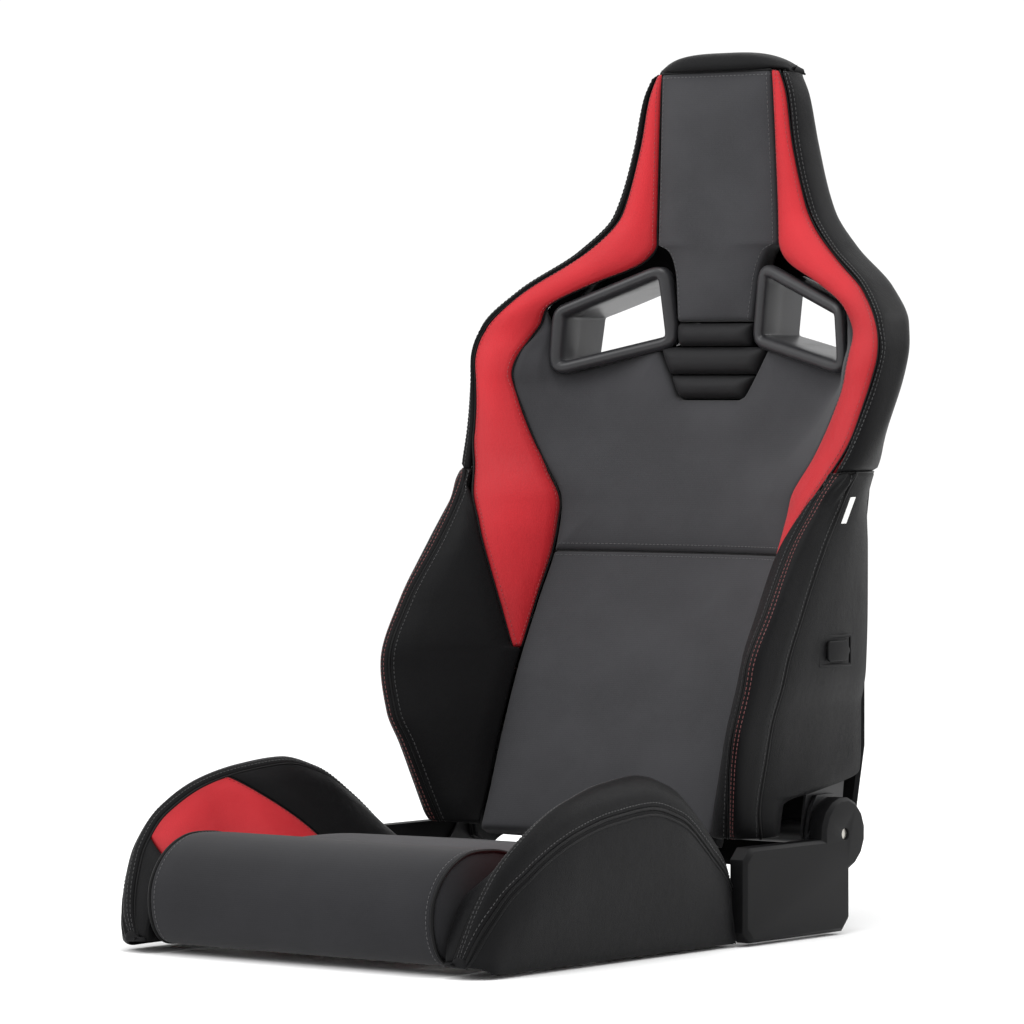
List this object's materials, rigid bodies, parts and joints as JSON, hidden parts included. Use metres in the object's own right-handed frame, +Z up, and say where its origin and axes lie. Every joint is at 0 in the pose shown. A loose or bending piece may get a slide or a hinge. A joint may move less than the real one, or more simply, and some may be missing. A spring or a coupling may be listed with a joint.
{
  "type": "reclining racing seat",
  "caption": "Reclining bucket seat with padded wings, harness slots, side bolsters, thigh roll, recliner handwheel and fold-forward levers.",
  "frame": {"origin": "centre of the seat's footprint, on the plane of its mounting bosses", "axes": "+Z up, the sitter faces -Y, +X is the sitter's left"},
  "size_m": [0.57, 0.8092, 0.965],
  "materials": {
    "grey_cloth": "matt",
    "black_leather": "soft sheen",
    "red_leather": "soft sheen",
    "black_plastic": "satin",
    "dark_steel": "satin",
    "zinc_steel": "satin",
    "white_tag": "matt"
  },
  "bodies": {
    "base": {"base_bolster_left": "black_leather", "base_bolster_right": "black_leather", "base_side_frame_left": "dark_steel", "base_side_frame_right": "dark_steel", "base_tube_front": "dark_steel", "base_tube_middle": "dark_steel", "base_tube_rear": "dark_steel", "mount_boss_front_left": "zinc_steel", "mount_boss_front_right": "zinc_steel", "mount_boss_rear_left": "zinc_steel", "mount_boss_rear_right": "zinc_steel", "red_panel_left": "red_leather", "red_panel_right": "red_leather", "seat_cushion": "grey_cloth", "seat_pan": "dark_steel", "side_cover_left": "black_plastic", "side_cover_right": "black_plastic", "thigh_roll": "grey_cloth"},
    "recliner_link": {"recliner_plate_left": "zinc_steel", "recliner_plate_right": "zinc_steel", "torque_tube": "dark_steel"},
    "backrest": {"back_bolster_left": "black_leather", "back_bolster_right": "black_leather", "back_hoop": "dark_steel", "back_lower_tube": "dark_steel", "back_shell": "black_plastic", "back_side_frame_left": "dark_steel", "back_side_frame_right": "dark_steel", "back_spring_high": "zinc_steel", "back_spring_low": "zinc_steel", "back_spring_mid": "zinc_steel", "back_upper_tube": "dark_steel", "chest_pad_bottom": "black_leather", "chest_pad_middle": "black_leather", "chest_pad_top": "black_leather", "head_cap": "black_leather", "head_cushion": "grey_cloth", "lever_pocket_left": "black_plastic", "lever_pocket_right": "black_plastic", "lower_back_cushion": "grey_cloth", "outer_band_left": "black_leather", "outer_band_right": "black_leather", "red_wing_left": "red_leather", "red_wing_right": "red_leather", "side_tag": "white_tag", "slot_bezel_left": "black_plastic", "slot_bezel_right": "black_plastic", "upper_back_cushion": "grey_cloth"},
    "adjuster": {"adjuster_shaft": "zinc_steel", "handwheel": "black_plastic", "handwheel_cap": "black_plastic"},
    "lever_left": {"fold_lever_left": "black_plastic"},
    "lever_right": {"fold_lever_right": "black_plastic"},
    "pawl_left": {"latch_pawl_left": "zinc_steel"},
    "pawl_right": {"latch_pawl_right": "zinc_steel"}
  },
  "joints": [
    {"name": "recline", "type": "hinge", "parent": "base", "child": "recliner_link", "pos_m": [0, 0.219, 0.108], "axis": [1, 0, 0], "range_deg": [-32, 6]},
    {"name": "fold_forward", "type": "hinge", "parent": "recliner_link", "child": "backrest", "pos_m": [0, 0.219, 0.108], "axis": [1, 0, 0], "range_deg": [0, 28]},
    {"name": "handwheel_turn", "type": "hinge", "parent": "base", "child": "adjuster", "pos_m": [0, 0.219, 0.108], "axis": [1, 0, 0], "range_deg": [-90, 480]},
    {"name": "lever_left_lift", "type": "hinge", "parent": "backrest", "child": "lever_left", "pos_m": [0.264, 0.214, 0.307], "axis": [-1, 0, 0], "range_deg": [0, 25], "stiffness_Nm_per_rad": 0.4, "springref_deg": -11.46},
    {"name": "lever_right_lift", "type": "hinge", "parent": "backrest", "child": "lever_right", "pos_m": [-0.264, 0.214, 0.307], "axis": [-1, 0, 0], "range_deg": [0, 25], "stiffness_Nm_per_rad": 0.4, "springref_deg": -11.46},
    {"name": "pawl_left_swing", "type": "hinge", "parent": "backrest", "child": "pawl_left", "pos_m": [0.224, 0.222, 0.168], "axis": [1, 0, 0], "range_deg": [0, 20]},
    {"name": "pawl_right_swing", "type": "hinge", "parent": "backrest", "child": "pawl_right", "pos_m": [-0.224, 0.222, 0.168], "axis": [1, 0, 0], "range_deg": [0, 20]}
  ],
  "couplings": [
    {"joint": "handwheel_turn", "follows": "recline", "ratio": -15},
    {"joint": "pawl_left_swing", "follows": "lever_left_lift", "ratio": 0.8},
    {"joint": "pawl_right_swing", "follows": "lever_right_lift", "ratio": 0.8}
  ]
}
